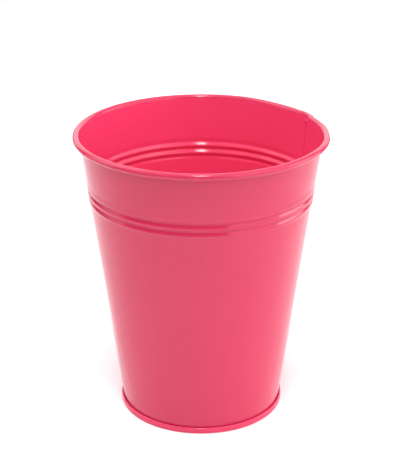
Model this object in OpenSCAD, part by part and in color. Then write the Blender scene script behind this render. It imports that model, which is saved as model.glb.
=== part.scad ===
// Florist bucket of painted sheet steel.
// A tapered wall rolled from one sheet, with three swaged beads, a wired rim and a
// grooved side seam. A pressed bottom pan is double-seamed to it and makes the foot ring.
// Z is up, the origin is the middle of the foot ring on the surface it stands on.

/* [Mouth] */
// Outside diameter of the rolled rim
rim_d = 200; // [180:1:240]
// Height over all, from the resting surface to the top of the rim
height = 232.4; // [215:0.2:280]
// Diameter of the wire inside the rim
wire_d = 4.2; // [3:0.1:5]
// Play between the wire and the sheet rolled round it
wire_play = 0.15; // [0.05:0.05:0.3]
// Where the wire starts, as a distance past the side seam
wire_start = 37; // [25:1:60]
// Where the wire ends after its way round, as a distance past the side seam
wire_end = 13; // [7:1:20]

/* [Sheet] */
// Thickness of the sheet steel, paint included
sheet = 0.5; // [0.4:0.05:0.6]
// Gap between the layers of a folded seam
fold_gap = 0.1; // [0.05:0.01:0.15]

/* [Foot] */
// Outside diameter of the foot ring
foot_d = 133.4; // [120:0.2:150]
// Height of the foot ring, which is the double seam
foot_h = 4.9; // [4.4:0.1:6]
// Radius of the foot ring's two lower edges, at the middle of the sheet
foot_edge_r = 0.65; // [0.5:0.05:0.75]
// Height of the pan's underside above the resting surface
pan_recess = 4.5; // [4:0.1:6]
// Radius of the stiffening bead in the pan
pan_bead_r = 44; // [30:1:50]

/* [Beads] */
// Number of beads round the wall
bead_count = 3; // [1:1:4]
// Height of the top bead's crest
bead_top = 192.3; // [120:0.1:200]
// Height from one crest to the next
bead_pitch = 6.15; // [6:0.05:10]
// How far a crest stands out of the wall
bead_out = 0.4; // [0.2:0.05:1]
// How far the groove between two crests lies inside the wall
groove_in = 0.75; // [0.2:0.05:1]
// Length of the wall's rise to the top crest
bead_lead = 4.5; // [3:0.1:6]
// Length of the wall's fall from the lowest crest
bead_tail = 2.8; // [2:0.1:6]

/* [Side seam] */
// Direction of the side seam, from +X towards +Y
seam_azimuth = 25; // [0:1:359]
// Width of the folded seam
seam_w = 6; // [5:0.5:8]

/* [Hidden] */

$fn = 96;
// Largest turn from one straight of an outline's round stretch to the next
arc_step = 15;
half = sheet / 2;

// A folded edge: the sheet turns back over one more layer, with a gap on each side of it.
layer = sheet + fold_gap;
fold_in_r = half + fold_gap;
fold_mid_r = fold_in_r + half;
fold_out_r = fold_in_r + sheet;

// Radii of the middle of each layer of the double seam, from the outside in
foot_r = foot_d / 2 - half;
body_hook_r = foot_r - layer;
cover_hook_r = body_hook_r - layer;
wall_foot_r = cover_hook_r - layer;
chuck_r = wall_foot_r - layer;

// Heights in the double seam
hook_bend_z = layer + fold_out_r;
hook_top_z = foot_h - fold_out_r;
cover_tip_z = 2;
sealant_h = 0.45;
sealant_gap = 0.05;

// Rim curl: its middle, the radius of the sheet's middle, and where its edge closes in
curl_out_r = wire_d / 2 + wire_play + sheet;
curl_r = curl_out_r - half;
curl_mid = [rim_d / 2 - curl_out_r, height - curl_out_r];
curl_end = -148;

// The wall leaves the foot ring and meets the curl as a tangent to it.
wall_way = curl_mid - [wall_foot_r, foot_h];
wall_angle = atan2(wall_way.x, wall_way.y) - asin(curl_r / norm(wall_way));
wall_len = sqrt(wall_way * wall_way - pow(curl_r, 2));

// Pan
pan_z = pan_recess + half;
pan_corner_r = 1;
pan_bead_w = 6;
pan_bead_h = 0.8;

// Side seam: where it starts and stops up the slope, and the run of the step over the fold
seam_low = 1.2;
seam_high = wall_len - 2 * curl_r;
step_from = -1.4;
step_to = 0.1;
tip_short = 0.4;
tab = 0.7;
// The beads stop at the side seam: the plain patch of the wall there, in degrees from the seam
// and in millimetres past the highest and the lowest bead
plain_from = -1.6;
plain_to = 4.6;
plain_past = 3;
plain_lap = 0.1;
// Slit between the two ends of the sheet, in the rim and in the foot
slit = 0.08;

// ---- Outlines of bent sheet -------------------------------------------------

// Points of an arc that turns from one direction to another.
function arc(mid, r, from, to) =
    let (steps = ceil(abs(to - from) / arc_step), turn = (to - from) / steps)
    [for (i = [0:steps]) mid + r * [cos(from + i * turn), sin(from + i * turn)]];

// Points of a smooth bead of width w and height h, in the way of x with its crest at c.
function bead(c, w, h) =
    let (steps = 12)
    [for (i = [0:steps]) let (u = 2 * i / steps - 1) [c + u * w / 2, h * (1 + cos(180 * u)) / 2]];

// Points of a smooth change from a to b, in the way of x, without a itself.
function swell(a, b) =
    let (steps = 6)
    [for (i = [1:steps]) let (u = i / steps) [
        a.x + u * (b.x - a.x),
        (a.y + b.y) / 2 + (a.y - b.y) / 2 * cos(180 * u)
    ]];

// Unit normal to the left of the way from a to b.
function left(a, b) = [a.y - b.y, b.x - a.x] / norm(b - a);

// Outline of a sheet whose middle follows a path, with mitred corners.
function ribbon(path) =
    let (
        last = len(path) - 1,
        off = [for (i = [0:last])
            let (
                sum = left(path[max(i - 1, 0)], path[max(i, 1)])
                    + left(path[min(i, last - 1)], path[min(i + 1, last)])
            )
            sheet * sum / (sum * sum)]
    )
    concat([for (i = [0:last]) path[i] + off[i]], [for (i = [last:-1:0]) path[i] - off[i]]);

// ---- Wall -----------------------------------------------------------------

// Point on the wall's slope: up the slope from the foot ring, and out from the sheet's middle.
function on_slope(up, out) =
    [wall_foot_r, foot_h]
    + up * [sin(wall_angle), cos(wall_angle)]
    + out * [cos(wall_angle), -sin(wall_angle)];

// The crests, the grooves between them and the two ends of the beads, from the lowest up
bead_low = (bead_top - (bead_count - 1) * bead_pitch - foot_h) / cos(wall_angle);
half_pitch = bead_pitch / cos(wall_angle) / 2;
turns = [for (i = [0:2 * bead_count - 2]) [bead_low + i * half_pitch, i % 2 == 0 ? bead_out : -groove_in]];
bead_top_up = turns[len(turns) - 1].x;
extremes = concat([[bead_low - bead_tail, 0]], turns, [[bead_top_up + bead_lead, 0]]);
bead_points = concat(
    [extremes[0]],
    [for (i = [1:len(extremes) - 1]) each swell(extremes[i - 1], extremes[i])]
);
plain_low = extremes[0].x - plain_past;
plain_high = bead_top_up + bead_lead + plain_past;

// From the hook in the double seam up the wall and round the rim's curl.
wall_path = concat(
    [[body_hook_r, hook_top_z]],
    arc([wall_foot_r + fold_mid_r, hook_bend_z], fold_mid_r, 0, -180),
    [on_slope(0, 0)],
    [for (p = bead_points) on_slope(p.x, p.y)],
    arc(curl_mid, curl_r, 180 - wall_angle, curl_end)
);

// Turns an outline round the axis from one azimuth to another, counted from the side seam.
module turned(from, to) {
    rotate(seam_azimuth + from)
        rotate_extrude(angle = to - from, start = 0) children();
}

// Extrudes a section of the side seam up the slope: x is out of the wall, y is round it.
module along_seam() {
    rotate(seam_azimuth)
        translate([wall_foot_r, 0, foot_h])
            rotate([0, wall_angle, 0])
                translate([0, 0, seam_low])
                    linear_extrude(seam_high - seam_low) children();
}

// The end of the sheet that folds back on the outside of its own wall.
inner_hook = concat(
    [[0, fold_out_r + tab]],
    arc([fold_mid_r, fold_out_r], fold_mid_r, 180, 360),
    [[2 * layer, seam_w - fold_out_r - tip_short]]
);

// The end that steps out over the first one and hooks into it.
outer_hook = concat(
    [[0, step_from - tab], [0, step_from], [3 * layer, step_to]],
    arc([layer + fold_mid_r, seam_w - fold_out_r], fold_mid_r, 0, 180),
    [[layer, fold_out_r + tip_short]]
);

module wall_sheet() {
    color("#E8486E") {
        difference() {
            union() {
                difference() {
                    turned(0, 360 - slit) polygon(ribbon(wall_path));
                    turned(plain_from, plain_to) polygon([
                        on_slope(plain_low, -groove_in - sheet),
                        on_slope(plain_low, bead_out + sheet),
                        on_slope(plain_high, bead_out + sheet),
                        on_slope(plain_high, -groove_in - sheet),
                    ]);
                }
                turned(plain_from - plain_lap, plain_to + plain_lap) polygon(ribbon([
                    on_slope(plain_low - plain_lap, 0),
                    on_slope(plain_high + plain_lap, 0),
                ]));
            }
            along_seam() translate([-layer, step_from])
                square([3 * layer, fold_out_r - step_from]);
        }
        along_seam() polygon(ribbon(inner_hook));
        along_seam() polygon(ribbon(outer_hook));
    }
}

// ---- Bottom ---------------------------------------------------------------

// From the middle out, down inside the wall, round under its hook, up and in behind it.
pan_path = concat(
    [[0, pan_z]],
    [for (p = bead(pan_bead_r, pan_bead_w, pan_bead_h)) p + [0, pan_z]],
    arc([chuck_r - pan_corner_r, pan_z - pan_corner_r], pan_corner_r, 90, 0),
    arc([chuck_r + foot_edge_r, half + foot_edge_r], foot_edge_r, 180, 270),
    arc([foot_r - foot_edge_r, half + foot_edge_r], foot_edge_r, 270, 360),
    arc([foot_r - fold_mid_r, hook_top_z], fold_mid_r, 0, 180),
    [[cover_hook_r, cover_tip_z]]
);

module base_pan() {
    color("#E2426A") rotate_extrude() polygon(ribbon(pan_path));
}

// ---- Pieces inside the folds ----------------------------------------------

module rim_wire() {
    turn_per_mm = 180 / PI / curl_mid.x;
    color("silver")
        rotate(seam_azimuth + wire_start * turn_per_mm)
            rotate_extrude(angle = 360 - (wire_start - wire_end) * turn_per_mm, start = 0)
                translate(curl_mid) circle(d = wire_d);
}

module base_seam_sealant() {
    color("dimgray") rotate_extrude()
        translate([wall_foot_r + half + sealant_gap, cover_tip_z - sealant_gap - sealant_h])
            square([2 * (fold_in_r - sealant_gap), sealant_h]);
}

module side_seam_sealant() {
    color("dimgray") along_seam()
        translate([fold_mid_r, fold_out_r]) circle(fold_in_r - fold_gap);
}

wall_sheet();
base_pan();
rim_wire();
base_seam_sealant();
side_seam_sealant();
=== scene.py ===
"""Florist bucket of painted sheet steel: detailed sheet pieces, enamel, light and camera.

Lengths are in millimetres until a mesh is made. A point of an outline is (radius, height).
"""
import math
from collections import namedtuple

import bmesh
import bpy
import numpy as np
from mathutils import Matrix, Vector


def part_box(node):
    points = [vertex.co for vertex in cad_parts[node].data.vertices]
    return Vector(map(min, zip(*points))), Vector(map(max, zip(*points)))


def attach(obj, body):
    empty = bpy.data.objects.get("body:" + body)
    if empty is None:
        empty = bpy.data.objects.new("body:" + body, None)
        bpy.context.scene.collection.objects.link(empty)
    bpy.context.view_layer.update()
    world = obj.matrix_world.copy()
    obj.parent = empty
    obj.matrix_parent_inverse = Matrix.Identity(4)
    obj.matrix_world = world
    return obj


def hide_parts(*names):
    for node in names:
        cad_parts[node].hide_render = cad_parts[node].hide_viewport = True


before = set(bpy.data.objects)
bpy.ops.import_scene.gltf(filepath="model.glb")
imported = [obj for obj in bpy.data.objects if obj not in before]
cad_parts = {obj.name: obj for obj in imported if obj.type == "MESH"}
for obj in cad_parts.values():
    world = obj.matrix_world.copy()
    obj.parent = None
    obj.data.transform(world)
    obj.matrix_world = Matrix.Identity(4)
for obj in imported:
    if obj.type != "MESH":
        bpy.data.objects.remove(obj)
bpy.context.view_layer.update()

MM = 0.001

# ---- Sizes from the frame -------------------------------------------------------------------

wall_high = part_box("wall_sheet")[1] / MM
pan_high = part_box("base_pan")[1] / MM
wire_low, wire_high = [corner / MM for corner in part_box("rim_wire")]
compound_low, compound_high = [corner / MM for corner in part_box("side_seam_sealant")]

# The true round of the rim stays this far short of the CAD model's box, outside and at the top.
SHORT_OF_BOX = 0.045

# ---- Sizes of the sheet ---------------------------------------------------------------------

# The sheet, and a folded edge: the gap between its layers, and the radii of the bend inside, in
# the middle of the sheet and outside
SHEET = 0.5
HALF = SHEET / 2
FOLD_GAP = 0.1
LAYER = SHEET + FOLD_GAP
FOLD_IN_R = HALF + FOLD_GAP
FOLD_R = FOLD_IN_R + HALF
FOLD_OUT_R = FOLD_IN_R + SHEET
# Width of the rounding on the sheet's cut edges, and the least angle of an edge that has it
EDGE_ROUND = 0.11
EDGE_ANGLE = 60

# Rim: the curl's middle, the radius of its sheet, and the angle where its edge ends, in degrees
RIM_R = wall_high.x - SHORT_OF_BOX
HEIGHT = wall_high.z - SHORT_OF_BOX
CURL_Z = (wire_low.z + wire_high.z) / 2
CURL_OUT_R = HEIGHT - CURL_Z
CURL_R = CURL_OUT_R - HALF
CURL_AXIS_R = RIM_R - CURL_OUT_R
CURL_END = -148

# Foot ring, which is the double seam: radii of the sheet's middle in its layers, and heights
FOOT_H = 4.9
FOOT_R = pan_high.x - HALF
FOOT_EDGE_R = 0.65
WALL_FOOT_R = FOOT_R - 3 * LAYER
CHUCK_R = WALL_FOOT_R - LAYER
HOOK_BEND_Z = LAYER + FOLD_OUT_R
HOOK_TOP_Z = FOOT_H - FOLD_OUT_R
COVER_TIP_Z = 2
# Height over which its lower edge is worn, and the lump where it crosses the side seam
FOOT_WEAR = 0.9
LUMP_OUT = 0.25
LUMP_W = 5
# Waver that rolling leaves in it: count round it, size, start
FOOT_WAVES = [(9, 0.03, 1), (23, 0.02, 0)]

# Bottom pan, with a stiffening bead in its floor
PAN_Z = 4.75
PAN_CORNER_R = 1
PAN_BEAD_R = 44
PAN_BEAD_W = 6
PAN_BEAD_H = 0.8

# Beads in the wall: the height of the top crest, how far the beads are tilted down on the side
# towards -Y and up on the other, and the height from one crest to the next
BEAD_COUNT = 3
BEAD_TOP = 192.4
BEAD_TILT = 0.35
BEAD_PITCH = 6.15
# How far a crest stands out of the wall, how far a groove lies inside it, and how pointed they
# are, from 0 for waves to 1 for a zigzag
BEAD_OUT = 0.4
BEAD_IN = 0.83
BEAD_SHARP = 0.85
# Stretches above the top crest and below the lowest one over which the wall is plain again
BEAD_LEAD = 4
BEAD_TAIL = 2.3
# The beads fade at the side seam, by this share and within this distance of it
BEAD_FADE = 0.8
BEAD_FADE_W = 9

# Side seam: its width, and its direction. The middle of the compound in its fold lies past the
# seam line by a small angle, in radians.
SEAM_W = 6
COMPOUND_PAST = 0.0106
seam_x = compound_low.x + compound_high.x
seam_y = compound_low.y + compound_high.y
SEAM_AZIMUTH = math.atan2(seam_y, seam_x) - COMPOUND_PAST
# Distances up the slope from the foot ring to the stack of folded layers, from the top of the
# stack to the end of the slope, and over which the stack is pressed out at its top
STACK_START = 1.2
STACK_END = 3.3
PRESSED = 2.2
# Distances past the seam line where the outer end starts and stops stepping over the fold
STEP_FROM = -0.7
STEP_TO = 0.25
# How far the tip of each folded end stays short of the other's bend, and half the slit between the
# two ends in the rim and in the foot
TIP_SHORT = 0.4
SLIT = 0.1
# Stretches past and before the seam line whose columns are set by distance and not by angle
FINE_FROM = 1.5
FINE_PAST = 42
FINE_BEFORE = 20
# Stretch below the top of the stack where the rows grow closer
FINE_TOP = 4

# Corner of the folded end, knocked in under the rim: how far in, where it starts and ends below
# the curl, and, past the seam, where it starts, is full, is still full and ends
EAR_IN = 0.6
EAR_DOWN = (0.4, 6)
EAR_ROUND = (-1.5, 0.3, 1, 4.5)

# Stretch of the rim without wire: where it starts, is pressed flattest and ends, as distances past
# the seam, how full the curl still is there, and how far the top of an empty curl would sag
FLAT_FROM = 12
FLAT_FULL = 14
FLAT_TO = 37
FLAT_CURL = 0.75
RIM_SAG = 0.5

# Wire in the rim: its two ends, as distances past the seam, and its radius
WIRE_START = 37
WIRE_END = 12
WIRE_R = (wire_high.z - wire_low.z) / 2

# Dents that take the rim out of round: how far out, and, in degrees past the seam, where each
# starts, is full, is still full and ends. They start at a height of DENT_FROM and grow upwards.
DENTS = [(0.7, -25, -36, -40, -62), (-1.75, 6, 22, 22, 46), (-1.1, -0.3, -2.2, -5, -18)]
DENT_FROM = 165

# Slow waves that rolling leaves in the wall: count round it, size, turn with height, start
WAVES = [(2, 0.10, 1.5, 0.4), (3, 0.06, 2.6, 2.0), (5, 0.045, -3.1, 4.1), (7, 0.03, 5.0, 1.2),
         (11, 0.018, -6.5, 5.2), (16, 0.01, 9.0, 3.3)]
# Heights where they are full and where the rim starts to hold them, and the share that it takes
WAVES_FULL = 60
WAVES_HELD = 205
WAVES_LOST = 0.8

# The wall's slope: its angle from upright, its length, the stack's top, and the ways up and out
way_r, way_z = CURL_AXIS_R - WALL_FOOT_R, CURL_Z - FOOT_H
way = math.hypot(way_r, way_z)
SLOPE = math.atan2(way_r, way_z) - math.asin(CURL_R / way)
WALL_LEN = math.sqrt(way ** 2 - CURL_R ** 2)
STACK_TOP = WALL_LEN - STACK_END
UP = np.array([math.sin(SLOPE), math.cos(SLOPE)])
OUT = np.array([math.cos(SLOPE), -math.sin(SLOPE)])


# ---- Small helpers --------------------------------------------------------------------------

def smooth(low, high, value):
    """0 below low, 1 above high, and a smooth rise between them. high may be the smaller one."""
    t = np.clip((np.asarray(value, float) - low) / (high - low), 0, 1)
    return t * t * (3 - 2 * t)


def hump(start, full, still, end, value):
    """A smooth rise from start to full, 1 as far as still, and a smooth fall from there to end."""
    return smooth(start, full, value) * (1 - smooth(still, end, value))


def wrapped(turn):
    """The same angle between half a turn back and half a turn on, in radians."""
    return (turn + math.pi) % (2 * math.pi) - math.pi


def after(start, stop, count):
    """Evenly spaced values after start, the last of them stop."""
    return list(np.linspace(start, stop, count + 1))[1:]


def arc(mid, radius, start, end, steps):
    """Points of an arc in the (radius, height) plane, with its angles in degrees."""
    turns = np.radians(np.linspace(start, end, steps + 1))
    return [np.array(mid) + radius * np.array([math.cos(a), math.sin(a)]) for a in turns]


# ---- Sheet pieces ---------------------------------------------------------------------------

# Points nearer to each other than this are one, in metres
WELD_M = 1e-6


def unit(vectors):
    """Vectors of length one, and straight down where one has no length, as in the pan's middle."""
    size = np.linalg.norm(vectors, axis=-1, keepdims=True)
    down = np.zeros_like(vectors)
    down[..., 2] = -1
    return np.where(size > 1e-9, vectors / np.maximum(size, 1e-9), down)


def made(name, shape):
    """An object with smooth faces and rounded edges from a finished shape."""
    bmesh.ops.recalc_face_normals(shape, faces=shape.faces)
    for face in shape.faces:
        face.smooth = True
    mesh = bpy.data.meshes.new(name)
    shape.to_mesh(mesh)
    shape.free()
    thing = bpy.data.objects.new(name, mesh)
    bpy.context.scene.collection.objects.link(thing)
    edge = thing.modifiers.new("rounded_edges", "BEVEL")
    edge.width = EDGE_ROUND * MM
    edge.segments = 2
    edge.limit_method = "ANGLE"
    edge.angle_limit = math.radians(EDGE_ANGLE)
    return thing


def sheet_piece(name, middle, kept, wraps, wear, inside):
    """A closed mesh of sheet metal around its middle surface.

    middle is a grid of points, columns by rows, kept tells which of its cells are there, wraps
    is true where the last column meets the first. wear has a value for each row, and inside
    tells which rows show their second skin to the inside of the bucket.
    """
    columns, rows = middle.shape[:2]
    if wraps:
        round_about = np.roll(middle, -1, 0) - np.roll(middle, 1, 0)
    else:
        round_about = np.gradient(middle, axis=0)
    normal = unit(np.cross(round_about, np.gradient(middle, axis=1)))
    skins = np.stack([middle + HALF * normal, middle - HALF * normal])

    piece = bmesh.new()
    wear_layer = piece.verts.layers.float.new("wear")
    # The inner attribute marks the skin that faces into the bucket, which the paint makes a lighter
    # pink: painted light.
    inner_layer = piece.verts.layers.float.new("inner")
    grid = np.empty((2, columns, rows), object)
    cells = [(i, j) for i in range(kept.shape[0]) for j in range(kept.shape[1]) if kept[i, j]]

    def vertex(skin, i, j):
        i = i % columns
        if grid[skin, i, j] is None:
            grid[skin, i, j] = piece.verts.new(skins[skin, i, j] * MM)
            grid[skin, i, j][wear_layer] = wear[j]
            grid[skin, i, j][inner_layer] = skin * inside[j]
        return grid[skin, i, j]

    def is_kept(i, j):
        if wraps:
            i = i % columns
        return 0 <= i < kept.shape[0] and 0 <= j < kept.shape[1] and kept[i, j]

    for i, j in cells:
        ring = [(i, j), (i + 1, j), (i + 1, j + 1), (i, j + 1)]
        piece.faces.new([vertex(0, *c) for c in ring])
        piece.faces.new([vertex(1, *c) for c in reversed(ring)])
        beside = [(i, j - 1), (i + 1, j), (i, j + 1), (i - 1, j)]
        for side, other in enumerate(beside):
            if not is_kept(*other):
                a, b = ring[side], ring[(side + 1) % 4]
                piece.faces.new([vertex(0, *b), vertex(0, *a), vertex(1, *a), vertex(1, *b)])

    bmesh.ops.remove_doubles(piece, verts=piece.verts, dist=WELD_M)
    bare = [edge for edge in piece.edges if not edge.link_faces]
    bmesh.ops.delete(piece, geom=bare, context="EDGES")
    return made(name, piece)


# ---- Wall -----------------------------------------------------------------------------------

def bead_profile(up):
    """How far the beads, and the grooves between them, stand out at a distance up the slope."""
    below = (BEAD_TOP - FOOT_H) / math.cos(SLOPE) - up
    last = (BEAD_COUNT - 1) * BEAD_PITCH / math.cos(SLOPE)
    wave = math.cos(2 * math.pi * below / (BEAD_PITCH / math.cos(SLOPE)))
    zigzag = math.asin(BEAD_SHARP * wave) / math.asin(BEAD_SHARP)
    if below < 0:
        return BEAD_OUT * float(smooth(-BEAD_LEAD, 0, below))
    if below > last:
        return BEAD_OUT * float(smooth(last + BEAD_TAIL, last, below))
    return (BEAD_OUT - BEAD_IN) / 2 + (BEAD_OUT + BEAD_IN) / 2 * zigzag


def wall_rows():
    """The wall's rows from the hook in the foot to the edge inside the curl.

    Each is (kind, place): a point of the foot hook, a distance up the slope, or an angle round
    the curl.
    """
    lowest_crest = (BEAD_TOP - (BEAD_COUNT - 1) * BEAD_PITCH - FOOT_H) / math.cos(SLOPE)
    top_crest = (BEAD_TOP - FOOT_H) / math.cos(SLOPE)
    bead_low = lowest_crest - BEAD_TAIL - BEAD_TILT
    bead_high = top_crest + BEAD_LEAD + BEAD_TILT
    hook = [np.array([FOOT_R - LAYER, HOOK_TOP_Z])]
    hook += arc((WALL_FOOT_R + FOLD_R, HOOK_BEND_Z), FOLD_R, 0, -180, 10)
    ups = [0.0] + after(0, STACK_START, 3)
    ups += after(STACK_START, bead_low, 29)
    ups += after(bead_low, bead_high, 57)
    ups += after(bead_high, STACK_TOP - FINE_TOP, 7)
    ups += after(STACK_TOP - FINE_TOP, WALL_LEN, 15)
    turns = np.radians(after(180 - math.degrees(SLOPE), CURL_END, 36))
    rows = [("hook", point) for point in hook]
    rows += [("slope", up) for up in ups]
    rows += [("curl", turn) for turn in turns]
    return rows


# A column of the wall: share counts round the body from 0 to 1, and is None near the seam, where
# along is the distance past the seam line. flat_along is that distance where the fold is pressed
# out, out is how far the column stands off the wall, and folded is true in the folded layers.
Column = namedtuple("Column", "share along flat_along out folded")


def wall_columns():
    """The wall's columns, from the end that folds outside round the bucket to the other end."""
    columns = []
    # The end that folds back on the outside: its tip, and its bend
    for along in np.linspace(SEAM_W - FOLD_OUT_R - TIP_SHORT, FOLD_OUT_R, 5)[:-1]:
        columns.append(Column(None, along, 0, 2 * LAYER, True))
    for turn in np.radians(np.linspace(0, -180, 13)):
        out, along = FOLD_R + FOLD_R * math.cos(turn), FOLD_OUT_R + FOLD_R * math.sin(turn)
        # The second quarter of the bend is the one that leads into the wall.
        quarter = -turn - math.pi / 2
        flat = SLIT + (FOLD_OUT_R - SLIT) * max(quarter, 0) / (math.pi / 2)
        columns.append(Column(None, along, flat, out, quarter < -0.01))
    # The plain wall past the seam, round the body and up to the seam again
    for along in np.linspace(FINE_FROM, FINE_PAST, 42):
        columns.append(Column(None, along, along, 0, False))
    for share in np.linspace(0, 1, 152)[1:-1]:
        columns.append(Column(share, 0, 0, 0, False))
    for along in np.linspace(-FINE_BEFORE, STEP_FROM, 16)[:-1]:
        columns.append(Column(None, along, along, 0, False))
    # The other end: its step over the fold, its flat, its bend, and its tip
    for t in np.linspace(0, 1, 9):
        along = STEP_FROM + (STEP_TO - STEP_FROM) * t
        flat = STEP_FROM + (-SLIT - STEP_FROM) * t
        columns.append(Column(None, along, flat, 3 * LAYER * float(smooth(0, 1, t)), False))
    for along in np.linspace(STEP_TO, SEAM_W - FOLD_OUT_R, 5)[1:-1]:
        columns.append(Column(None, along, 0, 3 * LAYER, True))
    for turn in np.radians(np.linspace(0, 180, 13)):
        out = LAYER + FOLD_R + FOLD_R * math.cos(turn)
        along = SEAM_W - FOLD_OUT_R + FOLD_R * math.sin(turn)
        columns.append(Column(None, along, 0, out, True))
    for along in after(SEAM_W - FOLD_OUT_R, FOLD_OUT_R + TIP_SHORT, 3):
        columns.append(Column(None, along, 0, LAYER, True))
    return columns


def curl_share(past_seam):
    """How full the curl is, from FLAT_CURL where no wire fills it to 1."""
    return 1 - (1 - FLAT_CURL) * hump(FLAT_FROM, FLAT_FULL, FLAT_FULL, FLAT_TO, past_seam)


def out_of_round(turn, height):
    """How far the wall stands in or out of the true round, at an angle from the seam."""
    degrees = math.degrees(wrapped(turn))
    dents = 0.0
    for size, *stretch in DENTS:
        dents += size * hump(*stretch, degrees)
    waves = 0.0
    for count, size, climb, start in WAVES:
        waves += size * math.cos(count * turn + climb * height / HEIGHT + start)
    free = smooth(FOOT_H, WAVES_FULL, height) * (1 - WAVES_LOST * smooth(WAVES_HELD, HEIGHT, height))
    return float(dents * smooth(DENT_FROM, HEIGHT, height) + waves * free)


def knocked_ear(past_seam, down):
    """How far the folded end's corner is knocked in, at a distance down from the curl."""
    top, low = EAR_DOWN
    start, full, still, end = EAR_ROUND
    bulge = smooth(low, low / 2, down) * smooth(top, low / 2, down)
    return EAR_IN * float(bulge * smooth(end, still, past_seam) * smooth(start, full, past_seam))


def curl_point(turn, past_seam):
    """(radius, height) of the sheet's middle at an angle round the curl."""
    point = np.array([CURL_AXIS_R, CURL_Z]) + CURL_R * np.array([math.cos(turn), math.sin(turn)])
    # Where no wire fills the curl, it is pressed towards the slope and its top sags.
    slope_r = WALL_FOOT_R + (point[1] - FOOT_H) * math.tan(SLOPE)
    full = curl_share(past_seam)
    point[0] = slope_r + full * (point[0] - slope_r)
    upper = float(smooth(CURL_Z - CURL_R, CURL_Z + CURL_R, point[1]))
    point[1] -= RIM_SAG * (1 - full) * upper
    return point


def wall_point(column, kind, place):
    """The sheet's middle, in x, y and z, where a column crosses a row."""
    near_seam = column.share is None
    fold = 0.0
    if kind == "hook":
        point = place
    elif kind == "slope":
        fold = float(hump(0, STACK_START, STACK_TOP, STACK_TOP + PRESSED, place))
        point = np.array([WALL_FOOT_R, FOOT_H]) + place * UP
    else:
        point = curl_point(place, column.along if near_seam else FINE_PAST)
    along = column.flat_along + (column.along - column.flat_along) * fold
    radius = point[0]
    if near_seam:
        turn = along / radius
    else:
        girth = 2 * math.pi * radius - FINE_PAST - FINE_BEFORE
        turn = (FINE_PAST + column.share * girth) / radius
    azimuth = SEAM_AZIMUTH + turn
    if kind == "slope":
        ear = knocked_ear(along, WALL_LEN - place) if near_seam else 0.0
        fade = BEAD_FADE * math.exp(-(wrapped(turn) * radius / BEAD_FADE_W) ** 2)
        level = place - BEAD_TILT * math.sin(azimuth)
        point = point + (bead_profile(level) * (1 - fade) + column.out * fold - ear) * OUT
    radius = point[0] + out_of_round(turn, point[1])
    return [radius * math.cos(azimuth), radius * math.sin(azimuth), point[1]]


def wall_sheet():
    """The wall with its beads, rim, foot hook and side seam, rolled from one sheet."""
    rows = wall_rows()
    columns = wall_columns()
    middle = np.array([[wall_point(column, *row) for row in rows] for column in columns])
    # Outside the stack of folded layers there is only one layer.
    in_stack = np.array([kind == "slope" and STACK_START <= place <= STACK_TOP + 1e-6
                         for kind, place in rows])
    kept = np.ones((len(columns) - 1, len(rows) - 1), bool)
    for i in range(len(columns) - 1):
        if columns[i].folded or columns[i + 1].folded:
            kept[i] = in_stack[:-1] & in_stack[1:]
    wear = [max(0.0, math.sin(place)) ** 2 if kind == "curl" else 0.0 for kind, place in rows]
    inside = np.array([kind != "curl" for kind, _ in rows], float)
    return sheet_piece("wall_body", middle, kept, False, wear, inside)


# ---- Bottom pan and foot ring ---------------------------------------------------------------

def pan_outline():
    """The pan's middle, from its centre out, round the foot and into the fold."""
    flat = [np.array([r, PAN_Z]) for r in np.linspace(0, PAN_BEAD_R - PAN_BEAD_W / 2, 9)]
    bead = []
    for u in np.linspace(-1, 1, 17)[1:]:
        rise = PAN_BEAD_H * (1 + math.cos(math.pi * u)) / 2
        bead.append(np.array([PAN_BEAD_R + u * PAN_BEAD_W / 2, PAN_Z + rise]))
    rest = [np.array([r, PAN_Z]) for r in np.linspace(bead[-1][0], CHUCK_R - PAN_CORNER_R, 4)[1:-1]]
    outline = flat + bead + rest
    outline += arc((CHUCK_R - PAN_CORNER_R, PAN_Z - PAN_CORNER_R), PAN_CORNER_R, 90, 0, 8)
    outline += arc((CHUCK_R + FOOT_EDGE_R, HALF + FOOT_EDGE_R), FOOT_EDGE_R, 180, 270, 7)
    outline += arc((FOOT_R - FOOT_EDGE_R, HALF + FOOT_EDGE_R), FOOT_EDGE_R, 270, 360, 7)
    outline += arc((FOOT_R - FOLD_R, HOOK_TOP_Z), FOLD_R, 0, 180, 12)
    outline += [np.array([FOOT_R - 2 * LAYER, COVER_TIP_Z])]
    return outline


def foot_swell(turn):
    """How far the foot ring's outer side stands out, at an angle from the seam."""
    lump = LUMP_OUT * math.exp(-((turn * FOOT_R - SEAM_W / 2) / LUMP_W) ** 2)
    waver = 0.0
    for count, size, start in FOOT_WAVES:
        waver += size * math.cos(count * turn + start)
    return lump + waver


def base_pan():
    """The bottom pan, whose edge is folded round the wall's hook and makes the foot ring."""
    outline = pan_outline()
    count = 200
    middle = np.zeros((count, len(outline), 3))
    for j, (radius, height) in enumerate(outline):
        outer = smooth(FOOT_R - LAYER, FOOT_R, radius)
        for i in range(count):
            azimuth = 2 * math.pi * i / count
            r = radius + foot_swell(wrapped(azimuth - SEAM_AZIMUTH)) * outer
            middle[i, j] = [r * math.cos(azimuth), r * math.sin(azimuth), height]
    kept = np.ones((count, len(outline) - 1), bool)
    wear = [float(1 - smooth(HALF, HALF + FOOT_WEAR, height)) for _, height in outline]
    inside = np.array([radius < CHUCK_R for radius, _ in outline], float)
    return sheet_piece("bottom_and_foot_ring", middle, kept, True, wear, inside)


# ---- Wire in the rim ------------------------------------------------------------------------

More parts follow.
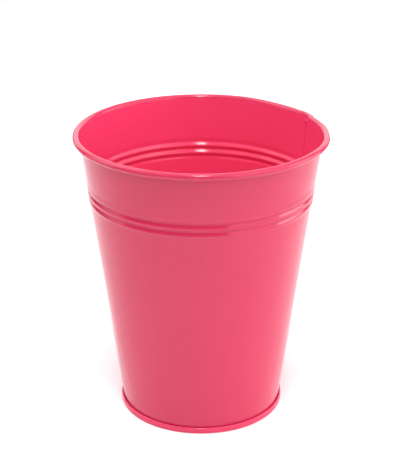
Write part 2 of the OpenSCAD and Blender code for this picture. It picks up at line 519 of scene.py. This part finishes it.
def rim_wire():
    """The wire inside the curl. It goes out of round with the rim."""
    sides = 20
    wire = bmesh.new()
    rings = []
    first = WIRE_START / CURL_AXIS_R
    last = 2 * math.pi + WIRE_END / CURL_AXIS_R
    for turn in np.linspace(first, last, 320):
        mid = CURL_AXIS_R + out_of_round(turn, CURL_Z)
        ring = []
        for angle in np.linspace(0, 2 * math.pi, sides + 1)[:-1]:
            radius = mid + WIRE_R * math.cos(angle)
            x = radius * math.cos(SEAM_AZIMUTH + turn)
            y = radius * math.sin(SEAM_AZIMUTH + turn)
            z = CURL_Z + WIRE_R * math.sin(angle)
            ring.append(wire.verts.new((x * MM, y * MM, z * MM)))
        rings.append(ring)
    for near, far in zip(rings, rings[1:]):
        for k in range(sides):
            wire.faces.new([near[k - 1], near[k], far[k], far[k - 1]])
    wire.faces.new(rings[0])
    wire.faces.new(rings[-1][::-1])
    return made("wire_ring", wire)


# ---- Materials ------------------------------------------------------------------------------

STEEL = (0.56, 0.56, 0.57)
DULL_STEEL = (0.42, 0.43, 0.44)
PRIMER = (0.42, 0.027, 0.075)
PINK_OUTSIDE = (0.61, 0.03, 0.092)
# The inside pink is lighter than the outside one, to stand in for the brighter light inside the bucket:
# painted light.
PINK_INSIDE_PAINTED_LIGHT = (0.82, 0.0515, 0.147)
# The base pan's pink is set apart from the wall's, to match the light and shade on the foot ring:
# painted shading.
PINK_BASE_PAINTED_SHADING = (0.72, 0.043, 0.122)

# Brightness of the faint clouds in a paint, as a share of the paint's own
CLOUDED = 0.975

# How worn a place on the wall and on the base is where its paint starts to be rubbed off
WALL_BARE_FROM = 0.72
BASE_BARE_FROM = 0.55

# A nick in the paint on the front of the wall: its middle, its half sizes and its slant
NICK = ((0.2, -86, 162), (1.9, 5, 0.45), -45)


class Shader:
    """A node material, built a node at a time."""

    def __init__(self, name):
        self.material = bpy.data.materials.new(name)
        self.material.use_nodes = True
        self.tree = self.material.node_tree
        self.bsdf = self.tree.nodes["Principled BSDF"]
        self.place = self.tree.nodes.new("ShaderNodeTexCoord").outputs["Object"]

    def node(self, kind, **settings):
        """A new node of a kind, such as Mapping, with its own settings."""
        fresh = self.tree.nodes.new("ShaderNode" + kind)
        for key, value in settings.items():
            setattr(fresh, key, value)
        return fresh

    def link(self, source, target):
        self.tree.links.new(source, target)

    def noise(self, size_mm, detail=2.0, stretch=(1, 1, 1)):
        """Noise whose lumps are about size_mm wide."""
        spread = self.node("Mapping")
        spread.inputs["Scale"].default_value = stretch
        self.link(self.place, spread.inputs["Vector"])
        texture = self.node("TexNoise")
        texture.inputs["Scale"].default_value = 1 / (size_mm * MM)
        texture.inputs["Detail"].default_value = detail
        self.link(spread.outputs["Vector"], texture.inputs["Vector"])
        return texture.outputs["Fac"]

    def ranged(self, value, low, high, from_low=0.3, from_high=0.7):
        """A value that goes from low to high as the given one goes from from_low to from_high."""
        span = self.node("MapRange")
        span.inputs["From Min"].default_value = from_low
        span.inputs["From Max"].default_value = from_high
        span.inputs["To Min"].default_value = low
        span.inputs["To Max"].default_value = high
        self.link(value, span.inputs["Value"])
        return span.outputs["Result"]

    def mark(self, place, half_size, turn):
        """1 inside a small soft-edged stroke and 0 away from it, with its sizes in millimetres."""
        near = self.node("Mapping", vector_type="TEXTURE")
        near.inputs["Location"].default_value = [v * MM for v in place]
        near.inputs["Rotation"].default_value = (0, math.radians(turn), 0)
        near.inputs["Scale"].default_value = [v * MM for v in half_size]
        self.link(self.place, near.inputs["Vector"])
        away = self.node("VectorMath", operation="LENGTH")
        self.link(near.outputs["Vector"], away.inputs[0])
        return self.ranged(away.outputs["Value"], 1, 0, 0.6, 1.2)

    def times(self, a, b):
        product = self.node("Math", operation="MULTIPLY")
        self.link(a, product.inputs[0])
        self.link(b, product.inputs[1])
        return product.outputs[0]

    def mix(self, share, a, b):
        """Mixes two colours, each a socket or a plain colour."""
        blend = self.node("Mix", data_type="RGBA")
        self.link(share, blend.inputs["Factor"])
        # The node's sockets for colours come after those for numbers and vectors.
        for socket, colour in ((blend.inputs[6], a), (blend.inputs[7], b)):
            if isinstance(colour, tuple):
                socket.default_value = (*colour, 1)
            else:
                self.link(colour, socket)
        return blend.outputs[2]

    def bump(self, heights):
        """Bumps on one another, each (height socket, depth in millimetres)."""
        normal = None
        for height, depth in heights:
            layer = self.node("Bump")
            layer.inputs["Distance"].default_value = depth * MM
            self.link(height, layer.inputs["Height"])
            if normal:
                self.link(normal, layer.inputs["Normal"])
            normal = layer.outputs["Normal"]
        self.link(normal, self.bsdf.inputs["Normal"])


def enamel(name, outer, inner, bare_from, nick=None):
    """Baked paint on steel: orange peel, faint clouds in the colour, and rubbed edges.

    outer and inner are the pinks on the two sides of the sheet: one paint, with the light and shade
    of each side painted in as a colour of its own. Steel shows where the wear passes bare_from.
    nick is a small mark down to the primer.
    """
    shader = Shader(name)
    bsdf = shader.bsdf
    bsdf.inputs["IOR"].default_value = 1.46
    clouds = shader.ranged(shader.noise(30, 3), 0, 1)
    outside = shader.mix(clouds, tuple(c * CLOUDED for c in outer), outer)
    inside = shader.mix(clouds, tuple(c * CLOUDED for c in inner), inner)
    # The skin facing into the bucket gets the lighter inside pink: painted light.
    paint = shader.mix(shader.node("Attribute", attribute_name="inner").outputs["Fac"], outside, inside)
    worn = shader.node("Attribute", attribute_name="wear").outputs["Fac"]
    rubbed = shader.ranged(shader.times(worn, shader.noise(5, 5)), 0, 1, bare_from, bare_from + 0.06)
    if nick:
        paint = shader.mix(shader.mark(*nick), paint, PRIMER)
    surface = shader.mix(rubbed, paint, STEEL)
    shader.link(surface, bsdf.inputs["Base Color"])
    gloss = shader.ranged(shader.noise(22, 4), 0.1, 0.14)
    scuffed = shader.node("Math", operation="ADD")
    shader.link(gloss, scuffed.inputs[0])
    shader.link(shader.ranged(worn, 0, 0.08, 0, 1), scuffed.inputs[1])
    shader.link(scuffed.outputs[0], bsdf.inputs["Roughness"])
    shader.link(shader.ranged(rubbed, 0, 0.9, 0, 1), bsdf.inputs["Metallic"])
    shader.bump([(shader.noise(1.3, 2), 0.003), (shader.noise(7, 2), 0.006)])
    return shader.material


def galvanised_wire():
    """Bare zinc-coated wire, spangled and drawn."""
    shader = Shader("galvanised_wire")
    spangle = shader.ranged(shader.noise(2.2, 4), 0, 1)
    shader.link(shader.mix(spangle, DULL_STEEL, STEEL), shader.bsdf.inputs["Base Color"])
    shader.bsdf.inputs["Metallic"].default_value = 1
    shader.link(shader.ranged(shader.noise(3, 3), 0.3, 0.5), shader.bsdf.inputs["Roughness"])
    shader.bump([(shader.noise(0.5, 2, (1, 1, 4)), 0.01)])
    return shader.material


def seam_compound():
    """Dull grey rubbery compound."""
    shader = Shader("seam_compound")
    cured = shader.ranged(shader.noise(1.6, 4), 0, 1)
    shader.link(shader.mix(cured, (0.16, 0.155, 0.15), (0.24, 0.235, 0.225)),
                shader.bsdf.inputs["Base Color"])
    shader.link(shader.ranged(shader.noise(2.5, 3), 0.6, 0.8), shader.bsdf.inputs["Roughness"])
    shader.bump([(shader.noise(0.8, 3), 0.05)])
    return shader.material


# ---- Pieces ---------------------------------------------------------------------------------

# One enamel throughout; the inside pink and the base's pink hold painted light and shade.
wall_paint = enamel("pink_paint", PINK_OUTSIDE, PINK_INSIDE_PAINTED_LIGHT, WALL_BARE_FROM, NICK)
base_paint = enamel("pink_paint_base", PINK_BASE_PAINTED_SHADING, PINK_INSIDE_PAINTED_LIGHT, BASE_BARE_FROM)

wall = wall_sheet()
wall.data.materials.append(wall_paint)
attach(wall, "root")
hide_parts("wall_sheet")

base = base_pan()
base.data.materials.append(base_paint)
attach(base, "root")
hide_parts("base_pan")

wire = rim_wire()
wire.data.materials.append(galvanised_wire())
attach(wire, "root")
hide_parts("rim_wire")

compound = seam_compound()
for node in ("base_seam_sealant", "side_seam_sealant"):
    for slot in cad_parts[node].material_slots:
        slot.material = compound

# ---- Floor, light and camera ----------------------------------------------------------------

# Radius of the floor, and distance of the lights from the bucket's middle, in metres
FLOOR_R = 1.4
LIGHT_DISTANCE = 2.2
FLOOR_DARK = (0.92, 0.92, 0.92)
FLOOR_PALE = (0.95, 0.95, 0.95)

# Name, azimuth and elevation in degrees, width and depth in metres, power in watts
SOFTBOXES = [
    ("overhead", -90, 84, 3.0, 2.2, 9),
    ("overhead_wide", 90, 89, 5.0, 4.0, 50),
    ("overhead_small", -90, 70, 0.3, 0.22, 15),
    ("front_small", -90, 50, 0.25, 0.4, 8.5),
    ("front_left", -135, 30, 1.8, 0.8, 3.5),
    ("key", -23, 26, 3.8, 1.9, 41),
    ("right_low", 10, 6, 1.6, 0.6, 12.5),
    ("left", 173, 24, 1.5, 1.8, 13.5),
    ("left_high", 163, 52, 1.5, 1.0, 9),
    ("back", 90, 24, 4.6, 1.4, 36),
]

# The camera's place in metres, how far it looks down in radians, and its lens and sensor in mm
CAMERA_PLACE = (0.00235, -1.0016, 0.5657)
CAMERA_DOWN = 0.396
CAMERA_LENS = 104.96
CAMERA_SENSOR = 36


def floor():
    """A round pale mat to stand on, with a faint tooth of its own."""
    bpy.ops.mesh.primitive_circle_add(vertices=128, radius=FLOOR_R, fill_type="NGON")
    ground = bpy.context.object
    ground.name = "studio_floor"
    shader = Shader("studio_floor")
    tone = shader.ranged(shader.noise(60, 3), 0, 1)
    shader.link(shader.mix(tone, FLOOR_DARK, FLOOR_PALE), shader.bsdf.inputs["Base Color"])
    shader.bsdf.inputs["Roughness"].default_value = 0.7
    shader.bsdf.inputs["Specular IOR Level"].default_value = 0.2
    shader.bump([(shader.noise(2, 2), 0.02)])
    ground.data.materials.append(shader.material)


def softbox(name, azimuth, elevation, width, depth, power):
    """A soft light that looks at the bucket. Azimuth turns from +X towards +Y, in degrees."""
    lamp = bpy.data.lights.new(name, "AREA")
    lamp.shape = "RECTANGLE"
    lamp.size = width
    lamp.size_y = depth
    lamp.energy = power
    box = bpy.data.objects.new(name, lamp)
    turn, lift = math.radians(azimuth), math.radians(elevation)
    away = np.array([math.cos(lift) * math.cos(turn), math.cos(lift) * math.sin(turn), math.sin(lift)])
    box.location = away * LIGHT_DISTANCE + np.array([0, 0, HEIGHT / 2 * MM])
    box.rotation_euler = (math.pi / 2 - lift, 0, turn + math.pi / 2)
    bpy.context.scene.collection.objects.link(box)


def surround():
    """White all round the studio. It is seen, and gives no light of its own."""
    world = bpy.data.worlds.new("studio")
    world.use_nodes = True
    nodes, links = world.node_tree.nodes, world.node_tree.links
    path = nodes.new("ShaderNodeLightPath")
    links.new(path.outputs["Is Camera Ray"], nodes["Background"].inputs["Strength"])
    nodes["Background"].inputs["Color"].default_value = (1, 1, 1, 1)
    bpy.context.scene.world = world


def camera():
    """The camera, which the scene looks through."""
    view = bpy.data.objects.new("camera", bpy.data.cameras.new("camera"))
    view.data.lens = CAMERA_LENS
    view.data.sensor_width = CAMERA_SENSOR
    view.location = CAMERA_PLACE
    view.rotation_euler = (math.pi / 2 - CAMERA_DOWN, 0, 0)
    bpy.context.scene.collection.objects.link(view)
    bpy.context.scene.camera = view


floor()
surround()
for row in SOFTBOXES:
    softbox(*row)
camera()
bpy.context.scene.view_settings.view_transform = "Standard"
